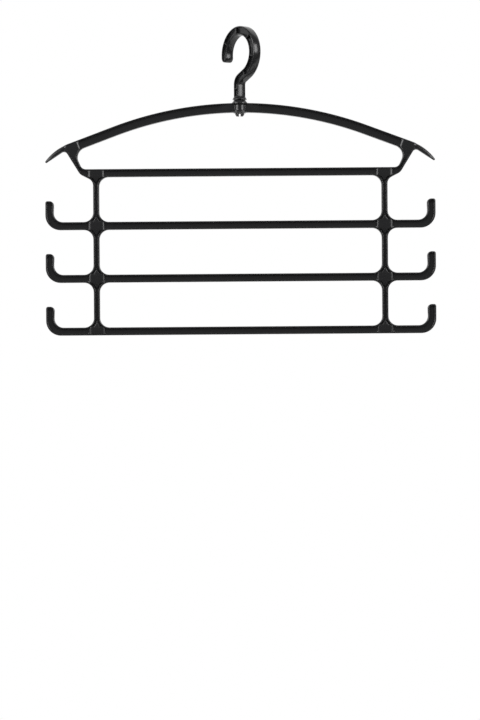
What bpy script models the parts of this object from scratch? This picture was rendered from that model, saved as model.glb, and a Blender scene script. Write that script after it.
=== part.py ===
"""Tiered trouser hanger: one moulded frame with four trouser bars and six side hooks,
hung from a rail hook whose snap pin swivels in the frame's hub.

Metres, +Z up, the front faces -Y. The origin is where the swivel axis meets the inside of
the rail hook, so the hanger hangs from (0, 0, 0)."""

from math import acos, ceil, cos, pi, radians, sin, tan

import bmesh
import bpy
from mathutils import Matrix, Vector

# Both pieces
RUNNING_GAP = 0.0003            # between the hook and the frame, on every side
ARC_TOLERANCE = 0.00009         # how far a chord may lie from its arc
EDGE_SHARE = 0.98               # most of an edge that the arcs at its two ends may take
TURN_STEPS = 36                 # facets round a turned shape
SHARP_ANGLE = radians(35.0)     # edges over this angle show as edges

# Frame: arch
CROWN_DROP = 0.0750             # rail seat down to the top of the arch, at its middle
ARCH_RADIUS = 0.4000            # top of the arch
ARCH_SLOPE = radians(20.5)      # fall of the arch's straight ends
ARCH_HEIGHT = 0.0104
FRAME_DEPTH = 0.0080            # front to back
EDGE_ROUND = 0.0011             # rounding of the frame's long edges

# Frame: spikes at the ends of the arch
SPIKE_LENGTH = 0.0287           # leg's outer edge out to the tip, before it is rounded
SPIKE_HANG = 0.0135             # straight line of the arch's top down to that tip
SPIKE_ROOT = 0.0060             # the same line down to the notch
SPIKE_TOP_FALL = radians(53.0)
SPIKE_BEND_RADIUS = 0.0560
SPIKE_TIP_ROUND = 0.0013
NOTCH_ROUND = 0.0040            # between the spike and the leg

# Frame: legs from the arch down to the first bar
LEG_MARK = 0.0550               # top of the arch down to where the leg is measured
LEG_OFFSET = 0.0227             # middle of the post out to the leg's inner edge, at the mark
LEG_WIDTH = 0.0086              # level, at the mark
LEG_OUTER_FALL = radians(58.5)
LEG_INNER_FALL = radians(65.5)
LEG_TOP_ROUND = 0.0110
LEG_FOOT_ROUND = 0.0065
LEG_BEND_ROUND = 0.0095
HEEL_FALL = radians(27.0)       # slope from the leg's bend in to the post
HEEL_LIFT = 0.0013
HEEL_ROUND = 0.0085

# Frame: posts, bars and tiers
POST_CENTRE = 0.1585
POST_WIDTH = 0.0068
BAR_HEIGHT = 0.0088
FIRST_BAR_DROP = 0.0760         # top of the arch down to the middle of the first bar
TIER_PITCH = 0.0580
TIER_COUNT = 4
NODE_FILLET = 0.0105            # where a bar or an arm meets a post

# Frame: side hooks
ARM_LENGTH = 0.0560             # middle of the post out to the outer face of a side hook
UPRIGHT_WIDTH = 0.0088
UPRIGHT_RISE = 0.0320           # underside of the arm up to the top of the upright
UPRIGHT_LEAN = 0.0009           # how far the upright's inner edge leans in at the top
ARM_OUTER_BEND = 0.0163
ARM_INNER_BEND = 0.0102
TIP_OUTER_ROUND = 0.0016
TIP_INNER_ROUND = 0.0034

# Frame: recess of both faces, and the pads that stay flush in it
RIM_WIDTH = 0.0016
RECESS_DEPTH = 0.0020
SHOULDER_WIDTH = 0.0047         # rounded slope from a pad down to the recess
RAMP_STEPS = 5
PAD_HALF_WIDTH = 0.0043
PAD_EDGE = 0.0044               # half height of a pad's upright edge
PAD_POINT = 0.0108              # middle of a bar to the point of its pad, along the post
PAD_ROUND = 0.0012              # rounding of a pad towards the post
HUB_PAD_HALF_WIDTH = 0.0096
GUSSET_STEP = 0.0013            # leg's outer edge in to the pad where leg, arch and spike meet
GUSSET_OUTER_FALL = radians(71.0)
GUSSET_MARK = 0.0500            # top of the arch down to where its outer edge is measured
GUSSET_FOOT_DROP = 0.0580

# Frame: hub, turned about the swivel axis
HUB_RISE = 0.0032               # above the top of the arch
HUB_DROP = 0.0008               # below the underside of the arch
HUB_NECK_RADIUS = 0.0057
HUB_COLLAR_RADIUS = 0.0081
HUB_BARREL_RADIUS = 0.0062
HUB_COLLAR_HEIGHT = 0.0013
HUB_CONE_HEIGHT = 0.0030
HUB_SLOPE_HEIGHT = 0.0009
HUB_FOOT_HEIGHT = 0.0010
HUB_FOOT_RADIUS = 0.0056
BORE_RADIUS = 0.0043

# Rail hook
SWIVEL_ANGLE = radians(-53.0)   # turn of the hook's plane from the frame's plane
HOOK_INNER_RADIUS = 0.0210
HOOK_OFFSET = 0.0030            # middle of the arc, from the swivel axis towards the spine
HOOK_HEIGHT = 0.0088            # section, along the arc's radius
HOOK_WIDTH = 0.0092             # section, along the rail
HOOK_EDGE_ROUND = 0.0016
HOOK_RIM = 0.0014
HOOK_WEB = 0.0032               # wall between the recesses of the hook's two sides
HOOK_TIP_ANGLE = radians(186.0)
DIAGONAL_RISE = radians(25.0)   # straight run from the stem to the arc
STEM_BEND_RADIUS = 0.0080
BEND_STEPS = 8
STEM_FOOT = 0.0020              # solid foot of the stem
FIRST_RIB = 0.0095              # flange up to the first rib, along the stem
RIB_PITCH = 0.0235
RIB_THICKNESS = 0.0012

# Rail hook: flange and split snap pin
FLANGE_RADIUS = 0.0072
FLANGE_TOP_RADIUS = 0.0062
FLANGE_HEIGHT = 0.0027
FLANGE_LIP = 0.0007
BARB_REACH = 0.0008             # barb beyond the wall of the bore
BARB_HEIGHT = 0.0010
POINT_RADIUS = 0.0036
POINT_HEIGHT = 0.0022
SPLIT_WIDTH = 0.0018
SPLIT_HEIGHT = 0.0120

# Heights and reaches that follow from the sizes above
CROWN_Z = -CROWN_DROP
ARCH_FOOT_Z = CROWN_Z - ARCH_HEIGHT
HALF_BAR = BAR_HEIGHT / 2
POST_INNER = POST_CENTRE - POST_WIDTH / 2
POST_OUTER = POST_CENTRE + POST_WIDTH / 2
UPRIGHT_OUTER = POST_CENTRE + ARM_LENGTH
UPRIGHT_INNER = UPRIGHT_OUTER - UPRIGHT_WIDTH
LEG_INNER = POST_CENTRE + LEG_OFFSET
LEG_OUTER = LEG_INNER + LEG_WIDTH
HUB_TOP_Z = CROWN_Z + HUB_RISE
HUB_FOOT_Z = ARCH_FOOT_Z - HUB_DROP
FLANGE_FOOT_Z = HUB_TOP_Z + RUNNING_GAP
FLANGE_TOP_Z = FLANGE_FOOT_Z + FLANGE_HEIGHT
PIN_RADIUS = BORE_RADIUS - RUNNING_GAP
BARB_TOP_Z = HUB_FOOT_Z - RUNNING_GAP
PIN_FOOT_Z = BARB_TOP_Z - BARB_HEIGHT - POINT_HEIGHT
ARC_DROP = (HOOK_INNER_RADIUS**2 - HOOK_OFFSET**2) ** 0.5
ARC_CENTRE = Vector((HOOK_OFFSET, -ARC_DROP))
ARC_RADIUS = HOOK_INNER_RADIUS + HOOK_HEIGHT / 2

SEAM = 0.00004                  # how far a cutter reaches past the face that it cuts
WELD_DISTANCE = 0.000005        # points of a seam that are closer become one
FLAT_ANGLE = radians(0.1)       # faces that turn less than this become one
FLOOR_Y = RECESS_DEPTH - FRAME_DEPTH / 2
PAD_Y = FLOOR_Y + SEAM
PAD_LIFT = RECESS_DEPTH + 3 * SEAM
ALONG_X = Vector((1, 0))
ALONG_Z = Vector((0, 1))


def tier_z(tier):
    """Height of the middle of a bar, counted from 0 at the top."""
    return CROWN_Z - FIRST_BAR_DROP - tier * TIER_PITCH


def outward(fall):
    """Direction outwards and down, by an angle below the level."""
    return Vector((cos(fall), -sin(fall)))


def inward(fall):
    """Direction inwards and down, by an angle below the level."""
    return Vector((-cos(fall), -sin(fall)))


def left_of(direction):
    """Direction turned a quarter to the left."""
    return Vector((-direction.y, direction.x))


def meet(point, direction, other_point, other_direction):
    """Where two lines cross, each given by a point and a direction."""
    across = left_of(other_direction)
    return point + direction * ((other_point - point).dot(across) / direction.dot(across))


def arc_steps(radius, turn):
    """Chords that keep within the tolerance on an arc."""
    step = 2 * acos(max(0.7, 1 - ARC_TOLERANCE / max(radius, ARC_TOLERANCE)))
    return max(1, ceil(abs(turn) / step))


def turns(corners):
    """Each corner's place, the directions before and after it, and its turn to the left."""
    places = [Vector(corner[:2]) for corner in corners]
    for i, place in enumerate(places):
        before = (place - places[i - 1]).normalized()
        after = (places[(i + 1) % len(places)] - place).normalized()
        yield place, before, after, -before.angle_signed(after)


def inset(corners, distance):
    """Corners (x, z, radius) of the outline that lies a distance to the left of theirs."""
    moved = []
    for (place, before, after, turn), (_, _, radius) in zip(turns(corners), corners):
        shift = (left_of(before) + left_of(after)) / (1 + before.dot(after))
        place = place + distance * shift
        grown = radius - distance if turn > 0 else radius + distance
        moved.append((place.x, place.y, max(grown, ARC_TOLERANCE)))
    return moved


def fitted(corners):
    """The same corners, with the radius made smaller where an arc is too long for its edges."""
    bends = list(turns(corners))
    reaches = [corner[2] * tan(abs(bend[3]) / 2) for corner, bend in zip(corners, bends)]
    shares = [1.0] * len(corners)
    for i in range(len(corners)):
        edge = (bends[i][0] - bends[i - 1][0]).length
        share = EDGE_SHARE * edge / (reaches[i] + reaches[i - 1])
        shares[i] = min(shares[i], share)
        shares[i - 1] = min(shares[i - 1], share)
    return [(x, z, radius * share) for (x, z, radius), share in zip(corners, shares)]


def rounded(corners):
    """Points of a closed outline whose corners (x, z, radius) are rounded by arcs."""
    points = []
    for (place, before, _, turn), (_, _, radius) in zip(turns(corners), corners):
        start = place - before * radius * tan(abs(turn) / 2)
        centre = start + left_of(before) * (radius if turn > 0 else -radius)
        steps = arc_steps(radius, turn)
        for k in range(steps + 1):
            points.append(centre + Matrix.Rotation(turn * k / steps, 2) @ (start - centre))
    return points


def symmetric(half):
    """A whole outline from its right half, which is listed from the top down."""
    return half + [(-x, z, radius) for x, z, radius in reversed(half) if x > 0]


def side_hook_corners(tier):
    """Outer outline round one side hook, from the post above it to the post below."""
    top = tier_z(tier) + HALF_BAR
    foot = tier_z(tier) - HALF_BAR
    tip = foot + UPRIGHT_RISE
    corners = [
        (POST_OUTER, top, NODE_FILLET),
        (UPRIGHT_INNER, top, ARM_INNER_BEND),
        (UPRIGHT_INNER - UPRIGHT_LEAN, tip, TIP_INNER_ROUND),
        (UPRIGHT_OUTER, tip, TIP_OUTER_ROUND),
        (UPRIGHT_OUTER, foot, ARM_OUTER_BEND),
    ]
    if tier < TIER_COUNT - 1:
        corners.append((POST_OUTER, foot, NODE_FILLET))
    return corners


def arch_apex(depth):
    """Where the arch's two straight ends would meet, a depth below its top edge."""
    rise = ARCH_RADIUS * (1 / cos(ARCH_SLOPE) - 1)
    return Vector((0, CROWN_Z + rise - depth / cos(ARCH_SLOPE)))


def outer_corners():
    """Right half of the frame's outer outline, from the crown down."""
    apex = arch_apex(0)
    leg = Vector((LEG_OUTER, CROWN_Z - LEG_MARK))
    heel = Vector((POST_OUTER + NODE_FILLET, tier_z(0) - HALF_BAR + HEEL_LIFT))
    over_tip = meet(apex, outward(ARCH_SLOPE), leg + ALONG_X * SPIKE_LENGTH, ALONG_Z)
    tip = over_tip - ALONG_Z * SPIKE_HANG
    bend = meet(apex, outward(ARCH_SLOPE), tip, outward(SPIKE_TOP_FALL))
    root = apex - ALONG_Z * SPIKE_ROOT
    notch = meet(root, outward(ARCH_SLOPE), leg, inward(LEG_OUTER_FALL))
    knee = meet(heel, inward(HEEL_FALL), leg, inward(LEG_OUTER_FALL))
    post_top = meet(heel, inward(HEEL_FALL), Vector((POST_OUTER, 0)), ALONG_Z)
    corners = [
        (*apex, ARCH_RADIUS),
        (*bend, SPIKE_BEND_RADIUS),
        (*tip, SPIKE_TIP_ROUND),
        (*notch, NOTCH_ROUND),
        (*knee, LEG_BEND_ROUND),
        (*post_top, HEEL_ROUND),
    ]
    for tier in range(1, TIER_COUNT):
        corners += side_hook_corners(tier)
    return corners


def arch_window_corners():
    """Right half of the opening between the arch and the first bar."""
    apex = arch_apex(ARCH_HEIGHT)
    leg = Vector((LEG_INNER, CROWN_Z - LEG_MARK))
    bar = Vector((0, tier_z(0) + HALF_BAR))
    shoulder = meet(apex, outward(ARCH_SLOPE), leg, inward(LEG_INNER_FALL))
    foot = meet(bar, ALONG_X, leg, inward(LEG_INNER_FALL))
    return [
        (*apex, ARCH_RADIUS - ARCH_HEIGHT),
        (*shoulder, LEG_TOP_ROUND),
        (*foot, LEG_FOOT_ROUND),
    ]


def window_corners(tier):
    """Right half of the opening below a bar."""
    return [
        (POST_INNER, tier_z(tier) - HALF_BAR, NODE_FILLET),
        (POST_INNER, tier_z(tier + 1) + HALF_BAR, NODE_FILLET),
    ]


def frame_outlines(distance):
    """The frame's outline and windows, moved into the material by a distance."""
    holes = [arch_window_corners()] + [window_corners(tier) for tier in range(TIER_COUNT - 1)]
    outlines = [rounded(inset(fitted(symmetric(outer_corners())), -distance))]
    return outlines + [rounded(inset(fitted(symmetric(hole)), distance)) for hole in holes]


def bar_pad():
    """Flush pad where the first bar crosses a post, pointed up and down the post."""
    z = tier_z(0)
    half = PAD_HALF_WIDTH - PAD_ROUND
    return [
        (POST_CENTRE, z + PAD_POINT, 0),
        (POST_CENTRE + half, z + PAD_EDGE, 0),
        (POST_CENTRE + half, z - PAD_EDGE, 0),
        (POST_CENTRE, z - PAD_POINT, 0),
        (POST_CENTRE - half, z - PAD_EDGE, 0),
        (POST_CENTRE - half, z + PAD_EDGE, 0),
    ]


def pad_ramp():
    """Cross-section (x, y) of a pad and its two rounded slopes along the bar."""
    slope = []
    for k in range(RAMP_STEPS + 1):
        angle = pi / 2 * k / RAMP_STEPS
        slope.append((PAD_HALF_WIDTH + SHOULDER_WIDTH * sin(angle), PAD_Y - PAD_LIFT * cos(angle)))
    left = [(POST_CENTRE - x, y) for x, y in slope]
    right = [(POST_CENTRE + x, y) for x, y in slope]
    return [Vector(point) for point in left[::-1] + right]


def gusset_pad():
    """Flush pad where the arch, the leg and the spike meet."""
    apex = arch_apex(ARCH_HEIGHT / 2)
    arch = meet(apex, outward(ARCH_SLOPE), Vector((LEG_INNER, 0)), ALONG_Z)
    spike = Vector((LEG_OUTER - GUSSET_STEP, CROWN_Z - GUSSET_MARK))
    foot = Vector((LEG_INNER, CROWN_Z - GUSSET_FOOT_DROP))
    lid = arch + ALONG_Z * ARCH_HEIGHT
    across_arch = left_of(outward(ARCH_SLOPE))
    across_leg = left_of(inward(LEG_OUTER_FALL))
    return [
        (*meet(lid, ALONG_X, arch, across_arch), 0),
        (*meet(lid, ALONG_X, spike, inward(GUSSET_OUTER_FALL)), 0),
        (*meet(foot, across_leg, spike, inward(GUSSET_OUTER_FALL)), 0),
        (*meet(foot, across_leg, arch, across_arch), 0),
    ]


def hub_pad():
    """Flush pad round the hub."""
    top = CROWN_Z + SHOULDER_WIDTH
    foot = ARCH_FOOT_Z - SHOULDER_WIDTH
    half = HUB_PAD_HALF_WIDTH
    return [(-half, top, 0), (half, top, 0), (half, foot, 0), (-half, foot, 0)]


def hook_path(start_z, tip_angle):
    """Middle line of the rail hook, as (point, direction) from a height on the stem to the
    tip: up the stem, round the bend, along the diagonal and round the arc."""
    arc_start = DIAGONAL_RISE - pi / 2
    join = ARC_CENTRE + ARC_RADIUS * Vector((cos(arc_start), sin(arc_start)))
    diagonal = Vector((cos(DIAGONAL_RISE), sin(DIAGONAL_RISE)))
    corner = meet(join, diagonal, Vector((0, 0)), ALONG_Z)
    bend_turn = pi / 2 - DIAGONAL_RISE
    bend_start = corner - ALONG_Z * STEM_BEND_RADIUS * tan(bend_turn / 2)
    bend_centre = bend_start + ALONG_X * STEM_BEND_RADIUS
    path = [(Vector((0, start_z)), ALONG_Z)]
    for k in range(BEND_STEPS + 1):
        angle = pi - bend_turn * k / BEND_STEPS
        spoke = Vector((cos(angle), sin(angle)))
        path.append((bend_centre + STEM_BEND_RADIUS * spoke, -left_of(spoke)))
    steps = arc_steps(ARC_RADIUS, tip_angle - arc_start)
    for k in range(steps + 1):
        angle = arc_start + (tip_angle - arc_start) * k / steps
        spoke = Vector((cos(angle), sin(angle)))
        path.append((ARC_CENTRE + ARC_RADIUS * spoke, left_of(spoke)))
    return path


def ribbon(path, half_width):
    """Outline along both sides of a path, square at its start and round at its end."""
    left = [point + half_width * left_of(direction) for point, direction in path]
    right = [point - half_width * left_of(direction) for point, direction in path]
    end, direction = path[-1]
    steps = arc_steps(half_width, pi)
    cap = []
    for k in range(1, steps):
        turn = Matrix.Rotation(pi * k / steps, 2)
        cap.append(end + turn @ (-half_width * left_of(direction)))
    return right + cap + left[::-1]


def along(path, distance):
    """Point and direction at a distance along a path."""
    for (start, before), (end, after) in zip(path, path[1:]):
        length = (end - start).length
        if distance <= length:
            share = distance / length
            return start.lerp(end, share), before.lerp(after, share).normalized()
        distance -= length
    return None


def rib_outlines():
    """Ribs across the hook's recess, at an even pitch along its middle line."""
    path = hook_path(FLANGE_TOP_Z, HOOK_TIP_ANGLE)
    outlines = []
    place = along(path, FIRST_RIB)
    while place:
        point, direction = place
        ahead = direction * RIB_THICKNESS / 2
        aside = left_of(direction) * HOOK_HEIGHT / 2
        outlines.append([point - ahead - aside, point + ahead - aside,
                         point + ahead + aside, point - ahead + aside])
        place = along(path, FIRST_RIB + RIB_PITCH * len(outlines))
    return outlines


def caps_of(shape):
    """Faces of a plate's front and back."""
    return {face for face in shape.faces if len({round(v.co.y, 6) for v in face.verts}) == 1}


def inner_edges(caps):
    """Edges that lie between two faces of the same cap."""
    edges = {edge for face in caps for edge in face.edges}
    return [edge for edge in edges if all(face in caps for face in edge.link_faces)]


def weld(shape):
    """Closes the seams between a plate's caps and its sides, and joins the caps'
    triangles into large faces."""
    bmesh.ops.remove_doubles(shape, verts=shape.verts, dist=WELD_DISTANCE)
    caps = caps_of(shape)
    bmesh.ops.beautify_fill(shape, faces=list(caps), edges=inner_edges(caps))
    bmesh.ops.recalc_face_normals(shape, faces=shape.faces)
    flat = inner_edges(caps_of(shape))
    bmesh.ops.dissolve_limit(shape, angle_limit=FLAT_ANGLE, verts=[], edges=flat)


def round_edges(shape, radius, steps):
    """Rounds the edges between a plate's caps and its sides."""
    caps = caps_of(shape)
    rims = [edge for edge in shape.edges if len(caps.intersection(edge.link_faces)) == 1]
    bmesh.ops.bevel(shape, geom=rims, offset=radius, offset_type='OFFSET', segments=steps,
                    profile=0.5, affect='EDGES', loop_slide=False, clamp_overlap=False)


def plate(name, outlines, thickness, edge_round=0.0, edge_steps=2):
    """Mesh of flat outlines in the XZ plane, half of its thickness on each side of it."""
    curve = bpy.data.curves.new(name, 'CURVE')
    curve.dimensions = '2D'
    curve.fill_mode = 'BOTH'
    curve.extrude = thickness / 2
    for outline in outlines:
        spline = curve.splines.new('POLY')
        spline.points.add(len(outline) - 1)
        for point, place in zip(spline.points, outline):
            point.co = (place[0], place[1], 0, 1)
        spline.use_cyclic_u = True
    drawn = bpy.data.objects.new(name, curve)
    drawn.rotation_euler.x = pi / 2
    guides.objects.link(drawn)
    bpy.context.view_layer.update()
    evaluated = drawn.evaluated_get(bpy.context.evaluated_depsgraph_get())
    mesh = bpy.data.meshes.new_from_object(evaluated)
    mesh.transform(drawn.matrix_world)
    bpy.data.objects.remove(drawn)
    shape = bmesh.new()
    shape.from_mesh(mesh)
    weld(shape)
    if edge_round:
        round_edges(shape, edge_round, edge_steps)
    shape.to_mesh(mesh)
    shape.free()
    mesh.shade_smooth()
    mesh.set_sharp_from_angle(angle=SHARP_ANGLE)
    return mesh


def guide(name, mesh, turn=0.0):
    """Cutter, or a shape that is joined to a piece, turned about the swivel axis."""
    obj = bpy.data.objects.new(name, mesh)
    obj.rotation_euler.z = turn
    obj.hide_render = True
    obj.display_type = 'WIRE'
    guides.objects.link(obj)
    return obj


def turned(name, profile, turn=0.0):
    """Shape turned about the swivel axis from a profile (radius, z), top to bottom."""
    mesh = bpy.data.meshes.new(name)
    edges = [(i, i + 1) for i in range(len(profile) - 1)]
    mesh.from_pydata([(radius, 0, z) for radius, z in profile], edges, [])
    obj = guide(name, mesh, turn)
    screw = obj.modifiers.new("Turn", 'SCREW')
    screw.steps = TURN_STEPS
    screw.render_steps = TURN_STEPS
    screw.use_merge_vertices = True
    screw.merge_threshold = 0.00001
    return obj


def mirror(obj, axis):
    """Mirrors an object across the plane through its origin, square to an axis."""
    modifier = obj.modifiers.new("Mirror", 'MIRROR')
    modifier.use_axis = (axis == 'X', axis == 'Y', False)
    modifier.merge_threshold = 0.00001


def combine(obj, operation, other, solver='EXACT'):
    """Boolean of an object with another."""
    modifier = obj.modifiers.new(other.name, 'BOOLEAN')
    modifier.operation = operation
    modifier.solver = solver
    modifier.object = other


def plastic(name, colour, roughness):
    """Moulded plastic."""
    material = bpy.data.materials.new(name)
    material.use_nodes = True
    shader = material.node_tree.nodes["Principled BSDF"]
    shader.inputs["Base Color"].default_value = (*colour, 1)
    shader.inputs["Roughness"].default_value = roughness
    shader.inputs["Metallic"].default_value = 0.0
    return material


def piece(name, mesh, material, turn=0.0):
    """Piece of the hanger, turned about the swivel axis."""
    obj = bpy.data.objects.new(name, mesh)
    obj.rotation_euler.z = turn
    obj.data.materials.clear()
    obj.data.materials.append(material)
    hanger.objects.link(obj)
    return obj


def tier_pads(name, mesh):
    """Repeats a pad of the first bar at each tier, on both sides."""
    obj = guide(name, mesh)
    copies = obj.modifiers.new("Tiers", 'ARRAY')
    copies.count = TIER_COUNT
    copies.use_relative_offset = False
    copies.use_constant_offset = True
    copies.constant_offset_displace = (0, 0, -TIER_PITCH)
    mirror(obj, 'X')
    return obj


def wide_pad(name, corners):
    """Pad whose rounded slopes run down to the recess all round."""
    thickness = 2 * (SHOULDER_WIDTH + SEAM)
    grown = inset(corners, SHOULDER_WIDTH)
    mesh = plate(name, [grown], thickness, SHOULDER_WIDTH, RAMP_STEPS)
    mesh.transform(Matrix.Diagonal((1, 2 * PAD_LIFT / thickness, 1, 1)))
    mesh.transform(Matrix.Translation((0, PAD_Y, 0)))
    return guide(name, mesh)


def frame_recess():
    """Recess of the front and the back, interrupted by the pads."""
    thickness = RECESS_DEPTH + SEAM
    mesh = plate("frame_recess", frame_outlines(RIM_WIDTH), thickness)
    mesh.transform(Matrix.Translation((0, FLOOR_Y - thickness / 2, 0)))
    recess = guide("frame_recess", mesh)

    pointed = plate("bar_pads", [inset(bar_pad(), PAD_ROUND)], 2 * PAD_LIFT, PAD_ROUND)
    pointed.transform(Matrix.Translation((0, PAD_Y, 0)))
    combine(recess, 'DIFFERENCE', tier_pads("bar_pads", pointed), 'MANIFOLD')

    ramps = plate("bar_ramps", [pad_ramp()], BAR_HEIGHT + 2 * PAD_ROUND)
    ramps.transform(Matrix.Rotation(-pi / 2, 4, 'X'))
    ramps.transform(Matrix.Translation((0, 0, tier_z(0))))
    combine(recess, 'DIFFERENCE', tier_pads("bar_ramps", ramps), 'MANIFOLD')

    gussets = wide_pad("gusset_pads", gusset_pad())
    mirror(gussets, 'X')
    combine(recess, 'DIFFERENCE', gussets, 'MANIFOLD')
    combine(recess, 'DIFFERENCE', wide_pad("hub_pad", hub_pad()), 'MANIFOLD')
    mirror(recess, 'Y')
    return recess


def hub():
    """Hub that the pin swivels in: a cone, two collars and the barrel between them."""
    upper = HUB_TOP_Z - HUB_CONE_HEIGHT
    lower = HUB_FOOT_Z + HUB_FOOT_HEIGHT
    return turned("hub", [
        (0, HUB_TOP_Z),
        (HUB_NECK_RADIUS, HUB_TOP_Z),
        (HUB_COLLAR_RADIUS, upper),
        (HUB_COLLAR_RADIUS, upper - HUB_COLLAR_HEIGHT),
        (HUB_BARREL_RADIUS, upper - HUB_COLLAR_HEIGHT - HUB_SLOPE_HEIGHT),
        (HUB_BARREL_RADIUS, lower + HUB_COLLAR_HEIGHT + HUB_SLOPE_HEIGHT),
        (HUB_COLLAR_RADIUS, lower + HUB_COLLAR_HEIGHT),
        (HUB_COLLAR_RADIUS, lower),
        (HUB_FOOT_RADIUS, HUB_FOOT_Z),
        (0, HUB_FOOT_Z),
    ])


def bore():
    """Hole through the hub for the pin."""
    top = HUB_TOP_Z + BORE_RADIUS
    foot = HUB_FOOT_Z - BORE_RADIUS
    return turned("bore", [(0, top), (BORE_RADIUS, top), (BORE_RADIUS, foot), (0, foot)])


def hook_recess():
    """Recesses of the rail hook's two sides, crossed by the ribs."""
    depth = (HOOK_WIDTH - HOOK_WEB) / 2 + SEAM
    path = hook_path(FLANGE_TOP_Z + STEM_FOOT, HOOK_TIP_ANGLE)
    mesh = plate("hook_recess", [ribbon(path, HOOK_HEIGHT / 2 - HOOK_RIM)], depth)
    mesh.transform(Matrix.Translation((0, -(HOOK_WEB + depth) / 2, 0)))
    recess = guide("hook_recess", mesh, SWIVEL_ANGLE)
    mirror(recess, 'Y')
    ribs = guide("hook_ribs", plate("hook_ribs", rib_outlines(), 2 * HOOK_WIDTH), SWIVEL_ANGLE)
    combine(recess, 'DIFFERENCE', ribs)
    return recess


def pin():
    """Flange on the hub and snap pin through it, whose barb holds the frame."""
    barb_radius = BORE_RADIUS + BARB_REACH
    return turned("pin", [
        (0, FLANGE_TOP_Z),
        (FLANGE_TOP_RADIUS, FLANGE_TOP_Z),
        (FLANGE_RADIUS, FLANGE_FOOT_Z + FLANGE_LIP),
        (FLANGE_RADIUS, FLANGE_FOOT_Z),
        (PIN_RADIUS, FLANGE_FOOT_Z),
        (PIN_RADIUS, BARB_TOP_Z),
        (barb_radius, BARB_TOP_Z),
        (barb_radius, BARB_TOP_Z - BARB_HEIGHT),
        (POINT_RADIUS, PIN_FOOT_Z),
        (0, PIN_FOOT_Z),
    ], SWIVEL_ANGLE)


def split():
    """Slot up the pin from its foot, which lets the barb spring in."""
    shape = bmesh.new()
    bmesh.ops.create_cube(shape, size=1)
    mesh = bpy.data.meshes.new("split")
    shape.to_mesh(mesh)
    shape.free()
    mesh.transform(Matrix.Diagonal((SPLIT_WIDTH, 4 * BORE_RADIUS, 2 * SPLIT_HEIGHT, 1)))
    mesh.transform(Matrix.Translation((0, 0, PIN_FOOT_Z)))
    return guide("split", mesh)


for old in list(bpy.data.objects):
    bpy.data.objects.remove(old, do_unlink=True)

hanger = bpy.data.collections.new("tiered_trouser_hanger")
guides = bpy.data.collections.new("cutters")
bpy.context.scene.collection.children.link(hanger)
bpy.context.scene.collection.children.link(guides)

frame_mesh = plate("hanger_frame", frame_outlines(0), FRAME_DEPTH, EDGE_ROUND)
frame = piece("hanger_frame", frame_mesh, plastic("frame_plastic", (0.012, 0.012, 0.013), 0.32))
combine(frame, 'UNION', hub())
combine(frame, 'DIFFERENCE', bore())
combine(frame, 'DIFFERENCE', frame_recess(), 'MANIFOLD')

hook_outline = ribbon(hook_path(FLANGE_FOOT_Z + SEAM, HOOK_TIP_ANGLE), HOOK_HEIGHT / 2)
hook_mesh = plate("swivel_hook", [hook_outline], HOOK_WIDTH, HOOK_EDGE_ROUND)
hook_black = plastic("hook_plastic", (0.012, 0.012, 0.013), 0.28)
hook = piece("swivel_hook", hook_mesh, hook_black, SWIVEL_ANGLE)
combine(hook, 'UNION', pin())
combine(hook, 'DIFFERENCE', split())
combine(hook, 'DIFFERENCE', hook_recess())
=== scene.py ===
"""Tiered trouser hanger in black moulded plastic, hung in plain soft light.

Metres, +Z up, the front faces -Y. The origin is where the swivel axis meets the inside of the
top hook. The hanger's sizes are named in millimetres, and a mesh is turned to metres last."""

from math import asin, ceil, cos, pi, radians, sin, tan

import bmesh
import bpy
import numpy as np
from mathutils import Matrix, Vector
from mathutils.geometry import delaunay_2d_cdt


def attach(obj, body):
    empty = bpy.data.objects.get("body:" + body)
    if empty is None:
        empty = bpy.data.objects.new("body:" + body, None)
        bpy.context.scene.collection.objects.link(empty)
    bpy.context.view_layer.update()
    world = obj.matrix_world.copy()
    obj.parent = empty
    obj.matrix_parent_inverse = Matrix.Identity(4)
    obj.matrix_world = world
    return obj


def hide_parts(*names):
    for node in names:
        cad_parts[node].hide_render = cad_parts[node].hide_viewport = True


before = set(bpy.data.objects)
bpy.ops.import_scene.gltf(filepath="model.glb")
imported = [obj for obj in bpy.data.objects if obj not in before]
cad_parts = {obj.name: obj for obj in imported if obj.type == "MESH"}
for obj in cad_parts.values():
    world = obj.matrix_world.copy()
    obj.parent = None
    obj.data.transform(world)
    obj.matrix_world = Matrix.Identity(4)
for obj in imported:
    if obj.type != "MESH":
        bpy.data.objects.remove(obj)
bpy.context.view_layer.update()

MM = 0.001
SHARP = 0.03                    # radius of a corner that is meant to look sharp
SHARP_ANGLE = radians(48)       # edges over this angle show as edges
POLE = 0.05                     # points nearer than this to the swivel axis move onto it
SECTION_SPACING = 0.45          # between the points of a turned section
TURN_STEPS = 96                 # angles at which a section is carried round

# Arch
CROWN_Z = -75.0
ARCH_RADIUS = 400.0
ARCH_SLOPE = radians(20.5)
ARCH_HEIGHT = 10.4
CROWN_CUT = 4.65                # swivel axis out to where the arch ends inside the hub's wall

# Spikes
SPIKE_LENGTH = 28.7
SPIKE_HANG = 13.5
SPIKE_ROOT = 6.0
SPIKE_TOP_FALL = radians(53.0)
SPIKE_BEND_RADIUS = 54.1
SPIKE_TIP_ROUND = 1.25
NOTCH_ROUND = 4.0
SPIKE_ROOT_DEPTH = 3.6          # half depth of the spike at its root
SPIKE_TIP_DEPTH = 1.3

# Legs
LEG_MARK = 55.0
LEG_INNER = 181.2
LEG_OUTER = 189.8
LEG_OUTER_FALL = radians(58.5)
LEG_INNER_FALL = radians(65.5)
LEG_TOP_ROUND = 11.0
LEG_FOOT_ROUND = 6.5
LEG_BEND_ROUND = 9.5
HEEL_FALL = radians(27.0)
HEEL_LIFT = 1.3
HEEL_ROUND = 8.5

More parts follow.
